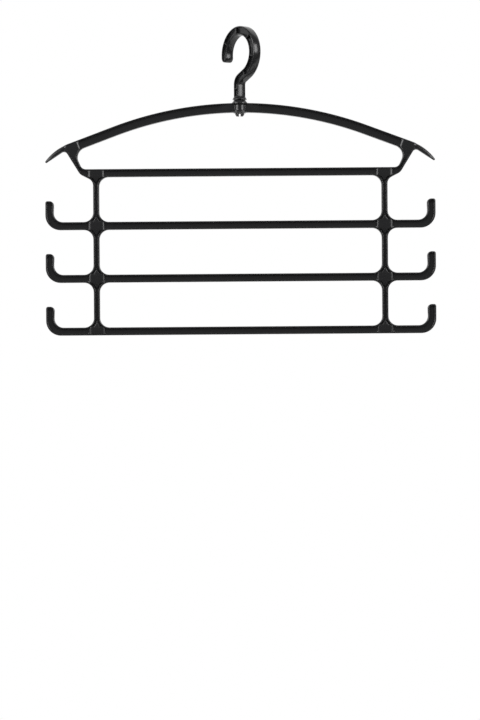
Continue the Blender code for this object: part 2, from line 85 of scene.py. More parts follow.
# Spikes in section, which is their own from a little outside the legs
SPIKE_BLEND = (LEG_OUTER + 2.2, LEG_OUTER + 4.6)    # where it starts and ends to take over
SPIKE_FOOT_Z = -142.0           # below the spikes' tips and above the side hooks' tips
SPIKE_ROOM = 6.0                # most room inside the outline that a spike's rings cross
SPIKE_FILL = 0.96               # share of that room at the innermost ring

# Posts, bars and side hooks
POST_CENTRE = 158.5
POST_WIDTH = 6.8
BAR_HEIGHT = 8.8
FIRST_BAR_Z = -151.0
TIER_PITCH = 58.0
TIER_COUNT = 4
NODE_FILLET = 10.5
UPRIGHT_OUTER = 214.5
UPRIGHT_INNER = 205.7
UPRIGHT_RISE = 32.0
UPRIGHT_LEAN = 0.9
ARM_OUTER_BEND = 16.3
ARM_INNER_BEND = 10.2
TIP_OUTER_ROUND = 2.4
TIP_INNER_ROUND = 4.8

# Pads that stay flush in the frame's recess
PAD_HALF_WIDTH = 4.3
PAD_EDGE = 4.4
PAD_POINT = 10.8
PAD_FALL = (-0.7, 0.7)          # where a pad's side starts and ends to fall, from its edge
RAMP = 4.7                      # rounded slope from a pad down to the recess
RAMP_EDGE = 1.2
HUB_PAD_HALF_WIDTH = 8.0
HUB_FADE = 18.0                 # long easy slope from the hub's pad down to the recess
GUSSET_STEP = 1.3
GUSSET_OUTER_FALL = radians(71.0)
GUSSET_MARK = 50.0
GUSSET_FOOT_DROP = 58.0
GROOVE = 0.3                    # depth of the groove between a pad and the rim
GROOVE_LEVEL = 0.97             # height from which a pad counts as meeting the rim

# Rims and floors of the plates
EDGE_TURN = np.radians([0, 30, 60, 90])     # angles along the rounded edge
LIP = 0.15                      # bevel of the rim's inner edge
HOLLOW_RINGS = 4                # last rings of a rim, which lie down in the recess
FLOOR_STEP = 0.3                # from the foot of the rim's fillet to the innermost ring
FLOOR_CLEARANCE = 0.3           # least distance from that ring to a point of the floor
SLOPE_STEPS = 8                 # samples of a slope
FOOT_STEP = 0.05                # from a slope's foot to one more sample
BATCH = 400                     # points compared at once, to keep arrays small

# Spacing of the samples along the outlines
PLAIN_SPACING = 5.0
PAD_SPACING = 0.65
PAD_AREA = (11.5, 13.0)         # half width and half height of the area round a pad
HOOK_SPACING = 1.2
SPACING_AREAS = (               # spacing, inner and outer x, foot and top z
    (1.0, 0.0, 28.0, CROWN_Z - 20, 0.0),    # hub
    (0.8, 168.0, 197.0, -146.0, -108.0),    # top of the leg
    (1.2, 197.0, 250.0, SPIKE_FOOT_Z, 0.0),
)

# Hub
HUB_TOP_Z = -71.8
HUB_FOOT_Z = -86.2
HUB_NECK_RADIUS = 6.1
HUB_COLLAR_RADIUS = 8.7
HUB_BARREL_RADIUS = 6.5
HUB_COLLAR_HEIGHT = 1.3
HUB_CONE_HEIGHT = 3.0
HUB_SLOPE_HEIGHT = 0.9
HUB_FOOT_HEIGHT = 1.0
HUB_FOOT_RADIUS = 6.1
BORE_RADIUS = 4.3
BORE_ROUND = 0.2
HUB_ROUND = 0.35

# Top hook
SWIVEL_ANGLE = radians(-53.0)
ARC_CENTRE = np.array([3.0, -(21.0**2 - 3.0**2) ** 0.5])
ARC_RADIUS = 25.1
HOOK_HALF_HEIGHT = 4.85
HOOK_HALF_WIDTH = 4.9
TIP_ANGLE = radians(186.0)
DIAGONAL_RISE = radians(25.0)
STEM_BEND_RADIUS = 8.0
STEM_FOOT_Z = -69.3
FIRST_RIB = 9.5
RIB_PITCH = 23.5
RIB_HALF = 0.6
RIB_ROUND = 0.5
STEM_SOLID = 2.0
HOOK_LENGTH = 145.0             # along the middle line, as far as ribs are set out
ARC_LEAD = 0.3                  # angle before the arc's start that still counts as the arc
JOIN_RISE = 12.0                # height above the arc's start from which only the arc counts

# Flange and snap pin
FLANGE_FOOT_Z = -71.5
FLANGE_TOP_Z = -68.8
FLANGE_RADIUS = 7.8
FLANGE_TOP_RADIUS = 6.9
FLANGE_LIP = 0.7
FLANGE_TOP_ROUND = 0.4
FLANGE_SIDE_ROUND = 0.3
FLANGE_FOOT_ROUND = 0.2
PIN_RADIUS = 4.0
PIN_FILLET = 0.15
BARB_RADIUS = 5.1
BARB_TOP_Z = -86.5
BARB_HEIGHT = 1.0
BARB_TOP_ROUND = 0.2
BARB_ROUND = 0.3
PIN_FOOT_Z = -89.7
POINT_RADIUS = 3.6
POINT_ROUND = 0.4
SPLIT_WIDTH = 1.8
SPLIT_HEIGHT = 12.0

# Camera
VIEW_DISTANCE = 2.6
VIEW_CENTRE = (-0.0017, 0.0, -0.3575)
VIEW_HEIGHT = 0.792             # height of the picture in the plane of the hanger
VIEW_ROLL = radians(-0.42)
SENSOR = 36.0

# Brightness of what surrounds the hanger, where 1 is white
ROOM = 0.09
CEILING = 0.06
BACKDROP = 0.9

# Colours
BLACK = (0.018, 0.018, 0.0188, 1.0)
RUBBED_BLACK = (0.05, 0.05, 0.052, 1.0)
DUST_GREY = (0.32, 0.31, 0.29, 1.0)
PAPER_WHITE = (0.86, 0.86, 0.86, 1.0)

# Stage
FLOOR_Z = -1.15
FLOOR_FRONT = -0.4
FLOOR_BACK = 2.4
FLOOR_HALF_WIDTH = 4.0
LAMP_AIM = (0, 0, -0.2)         # middle of the hanger
LAMP_DISTANCE = 5.0


def unit(vectors):
    """Vectors divided by their lengths."""
    return vectors / np.linalg.norm(vectors, axis=-1, keepdims=True)


def left_of(vectors):
    """Vectors turned a quarter to the left."""
    return np.stack([-vectors[..., 1], vectors[..., 0]], axis=-1)


def heading(fall, side=1):
    """Direction outwards, or inwards for side -1, and down by an angle below the level."""
    return np.array([side * cos(fall), -sin(fall)])


def meet(point, direction, other_point, other_direction):
    """Where two lines cross, each given by a point and a direction."""
    across = left_of(np.array(other_direction, dtype=float))
    run = np.dot(np.subtract(other_point, point), across) / np.dot(direction, across)
    return np.asarray(point, dtype=float) + run * np.asarray(direction, dtype=float)


class Outline:
    """Closed outline of straight edges and round corners (x, z, radius), clockwise round its
    material. It is sampled once, and each ring inside it has one point for each sample."""

    STEP = 0.2                  # between the trial points that the samples are picked from
    ARC_SHARE = 0.16            # spacing of the samples on an arc, as a share of its radius

    def __init__(self, corners, spacing):
        table = np.array(corners, dtype=float)
        self.place, self.radius = table[:, :2], table[:, 2]
        self.before = unit(self.place - np.roll(self.place, 1, axis=0))
        self.after = np.roll(self.before, -1, axis=0)
        cross = (left_of(self.before) * self.after).sum(axis=1)
        self.turn = np.arctan2(cross, (self.before * self.after).sum(axis=1))
        self.trial()
        self.pick(spacing)

    def trial(self):
        """Trial points: shares of each arc, then steps along the straight edge after it."""
        reach = self.radius * np.tan(np.abs(self.turn) / 2)
        edge = np.linalg.norm(np.roll(self.place, -1, axis=0) - self.place, axis=1)
        straight = np.maximum(edge - reach - np.roll(reach, -1), 0)
        own, share, along = [], [], []
        for i, (radius, turn, run) in enumerate(zip(self.radius, self.turn, straight)):
            arc_steps = max(3, ceil(radius * abs(turn) / self.STEP))
            run_steps = max(1, ceil(run / self.STEP))
            own.append(np.full(arc_steps + run_steps, i))
            share.append(np.append(np.linspace(0, 1, arc_steps + 1), np.ones(run_steps - 1)))
            along.append(np.append(np.zeros(arc_steps + 1), np.arange(1, run_steps) / run_steps))
        self.own = np.concatenate(own)
        self.share = np.concatenate(share)
        self.along = np.concatenate(along)

    def pick(self, spacing):
        """Keeps the trial points at which the sum of step / spacing passes a whole number."""
        points = self.ring(0)
        step = np.linalg.norm(np.roll(points, -1, axis=0) - points, axis=1)
        wanted = spacing(points)
        arc = (self.along == 0) & (self.radius[self.own] > SHARP)
        wanted = np.where(arc, np.minimum(wanted, self.ARC_SHARE * self.radius[self.own]), wanted)
        passed = np.cumsum(step / np.maximum(wanted, self.STEP))
        whole = np.floor(passed)
        keep = whole > np.append(-1, whole[:-1])
        keep |= (self.radius[self.own] <= SHARP) & (self.share == 0.5)
        self.own, self.share, self.along = self.own[keep], self.share[keep], self.along[keep]

    def on_arc(self, corner, share, distance):
        """Point at a share of a corner's arc. The corner moves along its bisector until both
        of its edges have moved into the material by the distance. A corner that juts out
        loses that distance from its radius and a hollow one gains it. The point is the
        arc's start, turned about its centre by the share of the corner's turn."""
        before, after, turn = self.before[corner], self.after[corner], self.turn[corner]
        shift = left_of(before) + left_of(after)
        shift /= (1 + (before * after).sum(axis=1))[:, None]
        place = self.place[corner] - distance[:, None] * shift
        radius = np.maximum(self.radius[corner] + np.sign(turn) * distance, SHARP)
        start = place - before * (radius * np.tan(np.abs(turn) / 2))[:, None]
        spoke = -left_of(before) * (radius * np.sign(turn))[:, None]
        angle = (turn * share)[:, None]
        return start - spoke + spoke * np.cos(angle) + left_of(spoke) * np.sin(angle)

    def ring(self, distance):
        """Points of the outline moved into its material by a distance for each sample."""
        distance = np.broadcast_to(np.asarray(distance, dtype=float), self.own.shape)
        near = self.on_arc(self.own, self.share, distance)
        far_corner = (self.own + 1) % len(self.radius)
        far = self.on_arc(far_corner, np.zeros(self.own.shape), distance)
        return near + (far - near) * self.along[:, None]


def mirrored(half):
    """Left half of an outline, from its right half listed from the top down."""
    return [(-x, z, radius) for x, z, radius in reversed(half) if x > 0]


def tier_z(tier):
    """Height of the middle of a bar, counted from 0 at the top."""
    return FIRST_BAR_Z - tier * TIER_PITCH


def arch_apex(depth):
    """Where the arch's two straight ends would meet, a depth below its top edge."""
    rise = ARCH_RADIUS * (1 / cos(ARCH_SLOPE) - 1)
    return np.array([0, CROWN_Z + rise - depth / cos(ARCH_SLOPE)])


def arch_corners(depth):
    """The arch's end inside the hub, and the corner of the arc from there to its slope."""
    radius = ARCH_RADIUS - depth
    angle = asin(CROWN_CUT / radius)
    cut = np.array([CROWN_CUT, CROWN_Z - ARCH_RADIUS + radius * cos(angle)])
    knee = meet(cut, heading(angle), arch_apex(depth), heading(ARCH_SLOPE))
    return [(*cut, SHARP), (*knee, radius)]


def side_hook_corners(tier):
    """Outer outline round one side hook, from the post above it to the post below."""
    top = tier_z(tier) + BAR_HEIGHT / 2
    foot = tier_z(tier) - BAR_HEIGHT / 2
    corners = [
        (POST_CENTRE + POST_WIDTH / 2, top, NODE_FILLET),
        (UPRIGHT_INNER, top, ARM_INNER_BEND),
        (UPRIGHT_INNER - UPRIGHT_LEAN, foot + UPRIGHT_RISE, TIP_INNER_ROUND),
        (UPRIGHT_OUTER, foot + UPRIGHT_RISE, TIP_OUTER_ROUND),
        (UPRIGHT_OUTER, foot, ARM_OUTER_BEND),
    ]
    if tier < TIER_COUNT - 1:
        corners.append((POST_CENTRE + POST_WIDTH / 2, foot, NODE_FILLET))
    return corners


def frame_corners():
    """The frame's outline: round the outside from the hub back to the hub, then round the
    opening under the arch, so that the arch is open where the hub takes its place."""
    apex = arch_apex(0)
    leg = np.array([LEG_OUTER, CROWN_Z - LEG_MARK])
    heel = (POST_CENTRE + POST_WIDTH / 2 + NODE_FILLET, tier_z(0) - BAR_HEIGHT / 2 + HEEL_LIFT)
    over_tip = meet(apex, heading(ARCH_SLOPE), leg + (SPIKE_LENGTH, 0), (0, 1))
    tip = over_tip - (0, SPIKE_HANG)
    bend = meet(apex, heading(ARCH_SLOPE), tip, heading(SPIKE_TOP_FALL))
    notch = meet(apex - (0, SPIKE_ROOT), heading(ARCH_SLOPE), leg, heading(LEG_OUTER_FALL, -1))
    knee = meet(heel, heading(HEEL_FALL, -1), leg, heading(LEG_OUTER_FALL, -1))
    post_top = meet(heel, heading(HEEL_FALL, -1), (POST_CENTRE + POST_WIDTH / 2, 0), (0, 1))
    outside = arch_corners(0) + [
        (*bend, SPIKE_BEND_RADIUS),
        (*tip, SPIKE_TIP_ROUND),
        (*notch, NOTCH_ROUND),
        (*knee, LEG_BEND_ROUND),
        (*post_top, HEEL_ROUND),
    ]
    for tier in range(1, TIER_COUNT):
        outside += side_hook_corners(tier)

    inner_leg = (LEG_INNER, CROWN_Z - LEG_MARK)
    shoulder = meet(arch_apex(ARCH_HEIGHT), heading(ARCH_SLOPE), inner_leg,
                    heading(LEG_INNER_FALL, -1))
    foot = meet((0, tier_z(0) + BAR_HEIGHT / 2), (1, 0), inner_leg, heading(LEG_INNER_FALL, -1))
    inside = arch_corners(ARCH_HEIGHT) + [(*shoulder, LEG_TOP_ROUND), (*foot, LEG_FOOT_ROUND)]
    return outside + mirrored(outside) + (inside + mirrored(inside))[::-1]


def window_corners(tier):
    """Opening below a bar, run round with the frame's material on the right."""
    x = POST_CENTRE - POST_WIDTH / 2
    top = tier_z(tier) - BAR_HEIGHT / 2
    foot = tier_z(tier + 1) + BAR_HEIGHT / 2
    right = [(x, top, NODE_FILLET), (x, foot, NODE_FILLET)]
    return (right + mirrored(right))[::-1]


def outside_distance(points, polygon):
    """How far points lie beyond a polygon's edges: the largest of their distances past each
    edge's line, so it is below zero inside."""
    corners = np.array(polygon, dtype=float)
    normals = left_of(unit(np.roll(corners, -1, axis=0) - corners))
    offsets = (corners * normals).sum(axis=1)
    return (points @ normals.T - offsets).max(axis=1)


def quarter_round(past, width):
    """Height from 1 down to 0 along a quarter of an ellipse, over a width."""
    return np.sqrt(np.clip(1 - np.clip(past / width, 0, 1) ** 2, 0, 1))


def folded(points):
    """Distances across to the middle of the nearest post, and up or down to that of the
    nearest bar."""
    tier = np.clip(np.round((FIRST_BAR_Z - points[:, 1]) / TIER_PITCH), 0, TIER_COUNT - 1)
    across = np.abs(points[:, 0]) - POST_CENTRE
    return np.abs(np.stack([across, points[:, 1] - tier_z(tier)], axis=1))


def smooth(value, low, high):
    """0 up to low, 1 from high on, and between them share * share * (3 - 2 * share)."""
    share = np.clip((value - low) / (high - low), 0, 1)
    return share * share * (3 - 2 * share)


def frame_pads(points):
    """Height of the pads, from 0 on the recess to 1 flush with the rim: the highest of the
    pointed pads, their ramps along the bars, the gussets' and the hub's."""
    post = folded(points)
    height = 1 - smooth(outside_distance(post, pad_polygon(0, 0)), *PAD_FALL)
    ramp = quarter_round(post[:, 0] - PAD_HALF_WIDTH, RAMP)
    ramp *= quarter_round(post[:, 1] - BAR_HEIGHT / 2, RAMP_EDGE)
    height = np.maximum(height, ramp)

    side = np.stack([np.abs(points[:, 0]), points[:, 1]], axis=1)
    height = np.maximum(height, quarter_round(outside_distance(side, gusset_polygon()), RAMP))
    away = smooth(side[:, 0], HUB_PAD_HALF_WIDTH, HUB_PAD_HALF_WIDTH + HUB_FADE)
    away[points[:, 1] < CROWN_Z - 2 * ARCH_HEIGHT] = 1
    return np.maximum(height, 1 - away)


def pad_polygon(x, z):
    """Pad on a post, pointed above and below, round a centre."""
    half = PAD_HALF_WIDTH
    return [(x, z + PAD_POINT), (x + half, z + PAD_EDGE), (x + half, z - PAD_EDGE),
            (x, z - PAD_POINT), (x - half, z - PAD_EDGE), (x - half, z + PAD_EDGE)]


def box_polygon(x, z, half_width, half_height):
    """Rectangle round a centre, clockwise."""
    return [(x - half_width, z - half_height), (x - half_width, z + half_height),
            (x + half_width, z + half_height), (x + half_width, z - half_height)]


def pad_points():
    """Points of the frame's floor, set out along the edges and slopes of its pads."""
    rows = []
    slope = slope_steps(RAMP)
    for side in (-1, 1):
        for tier in range(TIER_COUNT):
            x, z = side * POST_CENTRE, tier_z(tier)
            fall = np.linspace(*PAD_FALL, SLOPE_STEPS)
            rows.append(contours(pad_polygon(x, z), fall, spacing=0.5))
            box = box_polygon(x, z, PAD_HALF_WIDTH, BAR_HEIGHT)
            rows.append(contours(box, slope, spacing=0.7))
        gusset = np.array(gusset_polygon()) * (side, 1)
        rows.append(contours(gusset[::side], slope, spacing=0.8))
    hub = box_polygon(0, CROWN_Z - ARCH_HEIGHT / 2, HUB_PAD_HALF_WIDTH, ARCH_HEIGHT)
    rows.append(contours(hub, np.linspace(0, HUB_FADE, 19), spacing=1.0))
    return np.concatenate(rows)


def gusset_polygon():
    """Flush pad where the arch, the leg and the spike meet."""
    apex = arch_apex(ARCH_HEIGHT / 2)
    arch = meet(apex, heading(ARCH_SLOPE), (LEG_INNER, 0), (0, 1))
    spike = (LEG_OUTER - GUSSET_STEP, CROWN_Z - GUSSET_MARK)
    foot = (LEG_INNER, CROWN_Z - GUSSET_FOOT_DROP)
    lid = arch + (0, ARCH_HEIGHT)
    across_arch = left_of(heading(ARCH_SLOPE))
    across_leg = left_of(heading(LEG_OUTER_FALL, -1))
    return [
        meet(lid, (1, 0), arch, across_arch),
        meet(lid, (1, 0), spike, heading(GUSSET_OUTER_FALL, -1)),
        meet(foot, across_leg, spike, heading(GUSSET_OUTER_FALL, -1)),
        meet(foot, across_leg, arch, across_arch),
    ]


def frame_spacing(points):
    """Spacing of samples on the frame: fine by the pads, coarse along plain members."""
    wanted = np.full(len(points), PLAIN_SPACING)
    wanted[(folded(points) < PAD_AREA).all(axis=1)] = PAD_SPACING
    x, z = np.abs(points[:, 0]), points[:, 1]
    for spacing, inner, outer, foot, top in SPACING_AREAS:
        wanted[(x >= inner) & (x < outer) & (z > foot) & (z < top)] = spacing
    return wanted


def room(points, inwards):
    """Radius of the largest circle that touches the outline at each point from inside: the
    least of (distance to another point) squared over twice its depth inwards."""
    gap = points[None, :, :] - points[:, None, :]
    depth = (gap * inwards[:, None, :]).sum(axis=2)
    radius = (gap ** 2).sum(axis=2) / np.maximum(2 * depth, 1e-9)
    radius[depth < 1e-3] = np.inf
    return radius.min(axis=1)


def rim_profile(half_depth, draft, edge_round, rim, recess, fillet):
    """Rim in section, as (distance from the outline, depth behind the face), from the parting
    line round the rounded edge, across the rim and down to the recess."""
    edge = np.stack([draft + edge_round * (1 - np.cos(EDGE_TURN)),
                     edge_round * (1 - np.sin(EDGE_TURN))], axis=1)
    foot = np.radians([0, 45, 90])
    centre = rim + draft * 2 + fillet
    hollow = np.stack([centre - fillet * np.cos(foot),
                       recess - fillet * (1 - np.sin(foot))], axis=1)
    return np.concatenate([[(0, half_depth)], edge, [(rim - LIP, 0), (rim, LIP)], hollow,
                           [(centre + FLOOR_STEP, recess)]])


def edge_rings(count):
    """1 for the rings of a rim that lie on its rounded edge, and 0 for the rest."""
    return np.isin(np.arange(count), 1 + np.arange(len(EDGE_TURN))).astype(float)


def enclosed(points, rings):
    """True for points that lie inside the rings, counted by the edges above each of them."""
    start = np.concatenate(rings)
    end = np.concatenate([np.roll(ring, -1, axis=0) for ring in rings])
    inside = np.zeros(len(points), dtype=bool)
    for part in np.array_split(np.arange(len(points)), max(1, len(points) // BATCH)):
        x, z = points[part, 0][:, None], points[part, 1][:, None]
        crosses = (start[:, 0] > x) != (end[:, 0] > x)
        run = np.where(end[:, 0] == start[:, 0], 1, end[:, 0] - start[:, 0])
        height = start[:, 1] + (x - start[:, 0]) / run * (end[:, 1] - start[:, 1])
        inside[part] = (crosses & (height > z)).sum(axis=1) % 2 == 1
    return inside


def clear_of(points, rings, distance):
    """True for points that lie farther than a distance from every edge of the rings. The
    nearest place on an edge is start + run * share, where the share is (point - start) . run /
    run . run, kept between 0 and 1."""
    start = np.concatenate(rings)
    run = np.concatenate([np.roll(ring, -1, axis=0) for ring in rings]) - start
    length = np.maximum((run ** 2).sum(axis=1), 1e-12)
    clear = np.ones(len(points), dtype=bool)
    for part in np.array_split(np.arange(len(points)), max(1, len(points) // BATCH)):
        gap = points[part][:, None, :] - start
        share = np.clip((gap * run).sum(axis=2) / length, 0, 1)
        nearest = ((gap - run * share[:, :, None]) ** 2).sum(axis=2).min(axis=1)
        clear[part] = nearest > distance ** 2
    return clear


def contours(polygon, distances, spacing):
    """Points spaced along a clockwise polygon's edges, after each edge has moved outwards by
    each of the distances: corner + distance * (sum of the two edges' normals) / (1 + their
    dot product), joined up in a row."""
    place = np.array(polygon, dtype=float)
    normals = left_of(unit(np.roll(place, -1, axis=0) - place))
    last = np.roll(normals, 1, axis=0)
    mitre = (normals + last) / (1 + (normals * last).sum(axis=1))[:, None]
    rows = []
    for distance in distances:
        start = place + mitre * distance
        run = np.roll(start, -1, axis=0) - start
        steps = np.maximum(1, np.ceil(np.linalg.norm(run, axis=1) / spacing)).astype(int)
        edge = np.repeat(np.arange(len(place)), steps)
        share = (np.arange(len(edge)) - np.repeat(np.cumsum(steps) - steps, steps)) / steps[edge]
        rows.append(start[edge] + run[edge] * share[:, None])
    return np.concatenate(rows)


def slope_steps(width):
    """Distances at which a quarter round is sampled: width * sine of equal angles, and a last
    one just past its foot."""
    return np.append(width * np.sin(np.linspace(0, pi / 2, SLOPE_STEPS)), width + FOOT_STEP)


def make_mesh(name, points, faces, edge):
    """Smooth mesh of points in millimetres, with no doubles and nothing loose, and its faces
    turned outwards if they face in, which a volume below zero shows. The attribute "edge" is
    1 where the shape is rounded over."""
    mesh = bpy.data.meshes.new(name)
    mesh.from_pydata((points * MM).tolist(), [], faces)
    mesh.attributes.new("edge", 'FLOAT', 'POINT').data.foreach_set("value", edge)
    shape = bmesh.new()
    shape.from_mesh(mesh)
    bmesh.ops.remove_doubles(shape, verts=shape.verts, dist=1e-7)
    for parts, context in ((shape.edges, 'EDGES'), (shape.verts, 'VERTS')):
        loose = [part for part in parts if not part.link_faces]
        bmesh.ops.delete(shape, geom=loose, context=context)
    if shape.calc_volume(signed=True) < 0:
        bmesh.ops.reverse_faces(shape, faces=shape.faces)
    shape.to_mesh(mesh)
    shape.free()
    mesh.shade_smooth()
    mesh.set_sharp_from_angle(angle=SHARP_ANGLE)
    return mesh


def rim_rings(outlines, profile, pads, form):
    """Rings of the rim, from the parting line inwards: points, and depths behind the face.
    In the last rings the depth is the lesser of the profile's and of recess * (1 - pads),
    with a groove where a pad meets the rim. Where the form blends to a spike, a ring lies at
    its room * (1 - cosine), and its half depth * sine up from the middle, of an angle that
    grows from 0 to 90 degrees."""
    half_depth, recess = profile[0][1], profile[-1][1]
    last = len(profile) - 1
    forms = [form(outline) for outline in outlines]
    flat, depth = [], []
    for k, (distance, behind) in enumerate(profile):
        turn = k / last * pi / 2
        for outline, (blend, space, half) in zip(outlines, forms):
            inner = (1 - blend) * distance + blend * space * SPIKE_FILL * (1 - cos(turn))
            ring = outline.ring(inner)
            level = np.full(len(ring), behind)
            if k > last - HOLLOW_RINGS:
                height = pads(ring)
                groove = GROOVE * (k < last - 1) * (height > GROOVE_LEVEL)
                level = np.minimum(behind, recess * (1 - height) + groove)
            flat.append(ring)
            depth.append((1 - blend) * level + blend * (half_depth - half * sin(turn)))
    return np.concatenate(flat), np.concatenate(depth)


def recess_floor(rim, starts, following, extra):
    """The extra points that lie clear inside the innermost rings, and the triangles that join
    them to the rings. A Vector holds single precision, so the points are rounded to that
    before thin triangles inside the rings are told from those outside."""
    total = len(rim)
    rings = np.split(rim, starts[1:-1])
    extra = extra[enclosed(extra, rings)]
    extra = extra[clear_of(extra, rings, FLOOR_CLEARANCE)]
    around = np.concatenate([rim, extra]).astype(np.float32).astype(float)
    edges = np.stack([np.arange(total), following], axis=1)
    joined = delaunay_2d_cdt([Vector(point) for point in around.tolist()], edges.tolist(), [],
                             0, 1e-7, True)
    source = np.array([ids[0] for ids in joined[3]])
    triangles = source[np.array([face for face in joined[2] if len(face) == 3])]
    rings = np.split(around[:total], starts[1:-1])
    return extra, triangles[enclosed(around[triangles].mean(axis=1), rings)]


def plate(name, outlines, profile, pads, extra, form):
    """Moulded plate. Its rings run from the parting line, round the rim and down into the
    recess, and the floor between the innermost rings is joined up from their points and the
    extra ones, at recess * (1 - pads). The back is the front mirrored, and both share the
    ring at the parting line."""
    half_depth, recess = profile[0][1], profile[-1][1]
    starts = np.cumsum([0] + [len(outline.own) for outline in outlines])
    total = starts[-1]
    following = np.arange(total) + 1
    following[starts[1:] - 1] = starts[:-1]
    flat, depth = rim_rings(outlines, profile, pads, form)
    extra, triangles = recess_floor(flat[-total:], starts, following, extra)

    flat = np.concatenate([flat, extra])
    depth = np.concatenate([depth, recess * (1 - pads(extra))])
    front = np.stack([flat[:, 0], depth - half_depth, flat[:, 1]], axis=1)
    points = np.concatenate([front, front[total:] * (1, -1, 1)])

    row = np.arange(len(profile) - 1)[:, None] * total
    here = np.arange(total)
    quads = np.stack([row + here, row + following, row + total + following,
                      row + total + here], axis=2).reshape(-1, 4)
    inner = (len(profile) - 1) * total + triangles[:, ::-1]
    to_back = np.arange(len(front))
    to_back[total:] += len(front) - total
    faces = (quads.tolist() + inner.tolist() + to_back[quads][:, ::-1].tolist()
             + to_back[inner][:, ::-1].tolist())
    edge = np.append(np.repeat(edge_rings(len(profile)), total), np.zeros(len(extra)))
    return make_mesh(name, points, faces, np.append(edge, edge[total:]))


def plain_form(outline):
    """No spike anywhere: a blend, a room and a half depth of 0."""
    return np.zeros((3, len(outline.own)))


def spike_form(outline):
    """How the frame's section gives way to the spike's own: a blend from 0 on the frame to 1
    on the spike, the room inside the outline, and the spike's half depth, which falls along
    an ellipse from its root to its tip."""
    points = outline.ring(0)
    x = np.abs(points[:, 0])
    blend = smooth(x, *SPIKE_BLEND) * (points[:, 1] > SPIKE_FOOT_Z)
    space = np.zeros(len(points))
    for side in (-1, 1):
        chosen = (blend > 0) & (np.sign(points[:, 0]) == side)
        if chosen.any():
            inwards = unit(outline.ring(0.01) - points)[chosen]
            space[chosen] = np.minimum(room(points[chosen], inwards), SPIKE_ROOM)
    along = np.clip((x - LEG_OUTER) / (UPRIGHT_OUTER - LEG_OUTER), 0, 1)
    half = np.sqrt(SPIKE_ROOT_DEPTH**2 * (1 - along**2) + SPIKE_TIP_DEPTH**2 * along**2)
    return blend, space, half


def added(obj):
    """Links an object to the scene, and returns it."""
    bpy.context.scene.collection.objects.link(obj)
    return obj


def show(name, mesh, body, material, replaces):
    """Puts a finished mesh in the scene, riding on its body in place of a CAD node."""
    obj = added(bpy.data.objects.new(name, mesh))
    mesh.materials.clear()
    mesh.materials.append(material)
    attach(obj, body)
    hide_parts(replaces)


def turned_mesh(name, corners, turn=0.0):
    """Closed section (radius, z) with rounded corners, carried round the swivel axis: each
    point of the section at each angle, at radius * (cosine, sine) of the angle. Points by the
    axis close on it."""
    outline = Outline(corners, lambda points: np.full(len(points), SECTION_SPACING))
    edge = (outline.along == 0) & (outline.turn[outline.own] < 0)
    radius, z = outline.ring(0).T
    radius = np.where(radius < POLE, 0, radius)
    angle = np.arange(TURN_STEPS) * 2 * pi / TURN_STEPS + turn
    points = np.stack([np.outer(np.cos(angle), radius), np.outer(np.sin(angle), radius),
                       np.broadcast_to(z, (TURN_STEPS, len(z)))], axis=2).reshape(-1, 3)
    here = np.arange(len(points)).reshape(TURN_STEPS, -1)
    there = np.roll(here, -1, axis=0)
    faces = np.stack([here, there, np.roll(there, -1, axis=1), np.roll(here, -1, axis=1)],
                     axis=2).reshape(-1, 4)
    return make_mesh(name, points, faces.tolist(), np.tile(edge.astype(float), TURN_STEPS))


def hub_section():
    """The hub's wall in section, clockwise: bore, neck, cone, collars, barrel and foot."""
    upper = HUB_TOP_Z - HUB_CONE_HEIGHT
    lower = HUB_FOOT_Z + HUB_FOOT_HEIGHT
    return [
        (BORE_RADIUS, HUB_FOOT_Z, BORE_ROUND),
        (BORE_RADIUS, HUB_TOP_Z, BORE_ROUND),
        (HUB_NECK_RADIUS, HUB_TOP_Z, HUB_ROUND),
        (HUB_COLLAR_RADIUS, upper, HUB_ROUND),
        (HUB_COLLAR_RADIUS, upper - HUB_COLLAR_HEIGHT, HUB_ROUND),
        (HUB_BARREL_RADIUS, upper - HUB_COLLAR_HEIGHT - HUB_SLOPE_HEIGHT, HUB_ROUND),
        (HUB_BARREL_RADIUS, lower + HUB_COLLAR_HEIGHT + HUB_SLOPE_HEIGHT, HUB_ROUND),
        (HUB_COLLAR_RADIUS, lower + HUB_COLLAR_HEIGHT, HUB_ROUND),
        (HUB_COLLAR_RADIUS, lower, HUB_ROUND),
        (HUB_FOOT_RADIUS, HUB_FOOT_Z, HUB_ROUND),
    ]


def pin_section():
    """Flange and snap pin in section, clockwise, closed along the swivel axis."""
    return [
        (0, PIN_FOOT_Z, SHARP),
        (0, FLANGE_TOP_Z, SHARP),
        (FLANGE_TOP_RADIUS, FLANGE_TOP_Z, FLANGE_TOP_ROUND),
        (FLANGE_RADIUS, FLANGE_FOOT_Z + FLANGE_LIP, FLANGE_SIDE_ROUND),
        (FLANGE_RADIUS, FLANGE_FOOT_Z, FLANGE_FOOT_ROUND),
        (PIN_RADIUS, FLANGE_FOOT_Z, PIN_FILLET),
        (PIN_RADIUS, BARB_TOP_Z, PIN_FILLET),
        (BARB_RADIUS, BARB_TOP_Z, BARB_TOP_ROUND),
        (BARB_RADIUS, BARB_TOP_Z - BARB_HEIGHT, BARB_ROUND),
        (POINT_RADIUS, PIN_FOOT_Z, POINT_ROUND),
    ]


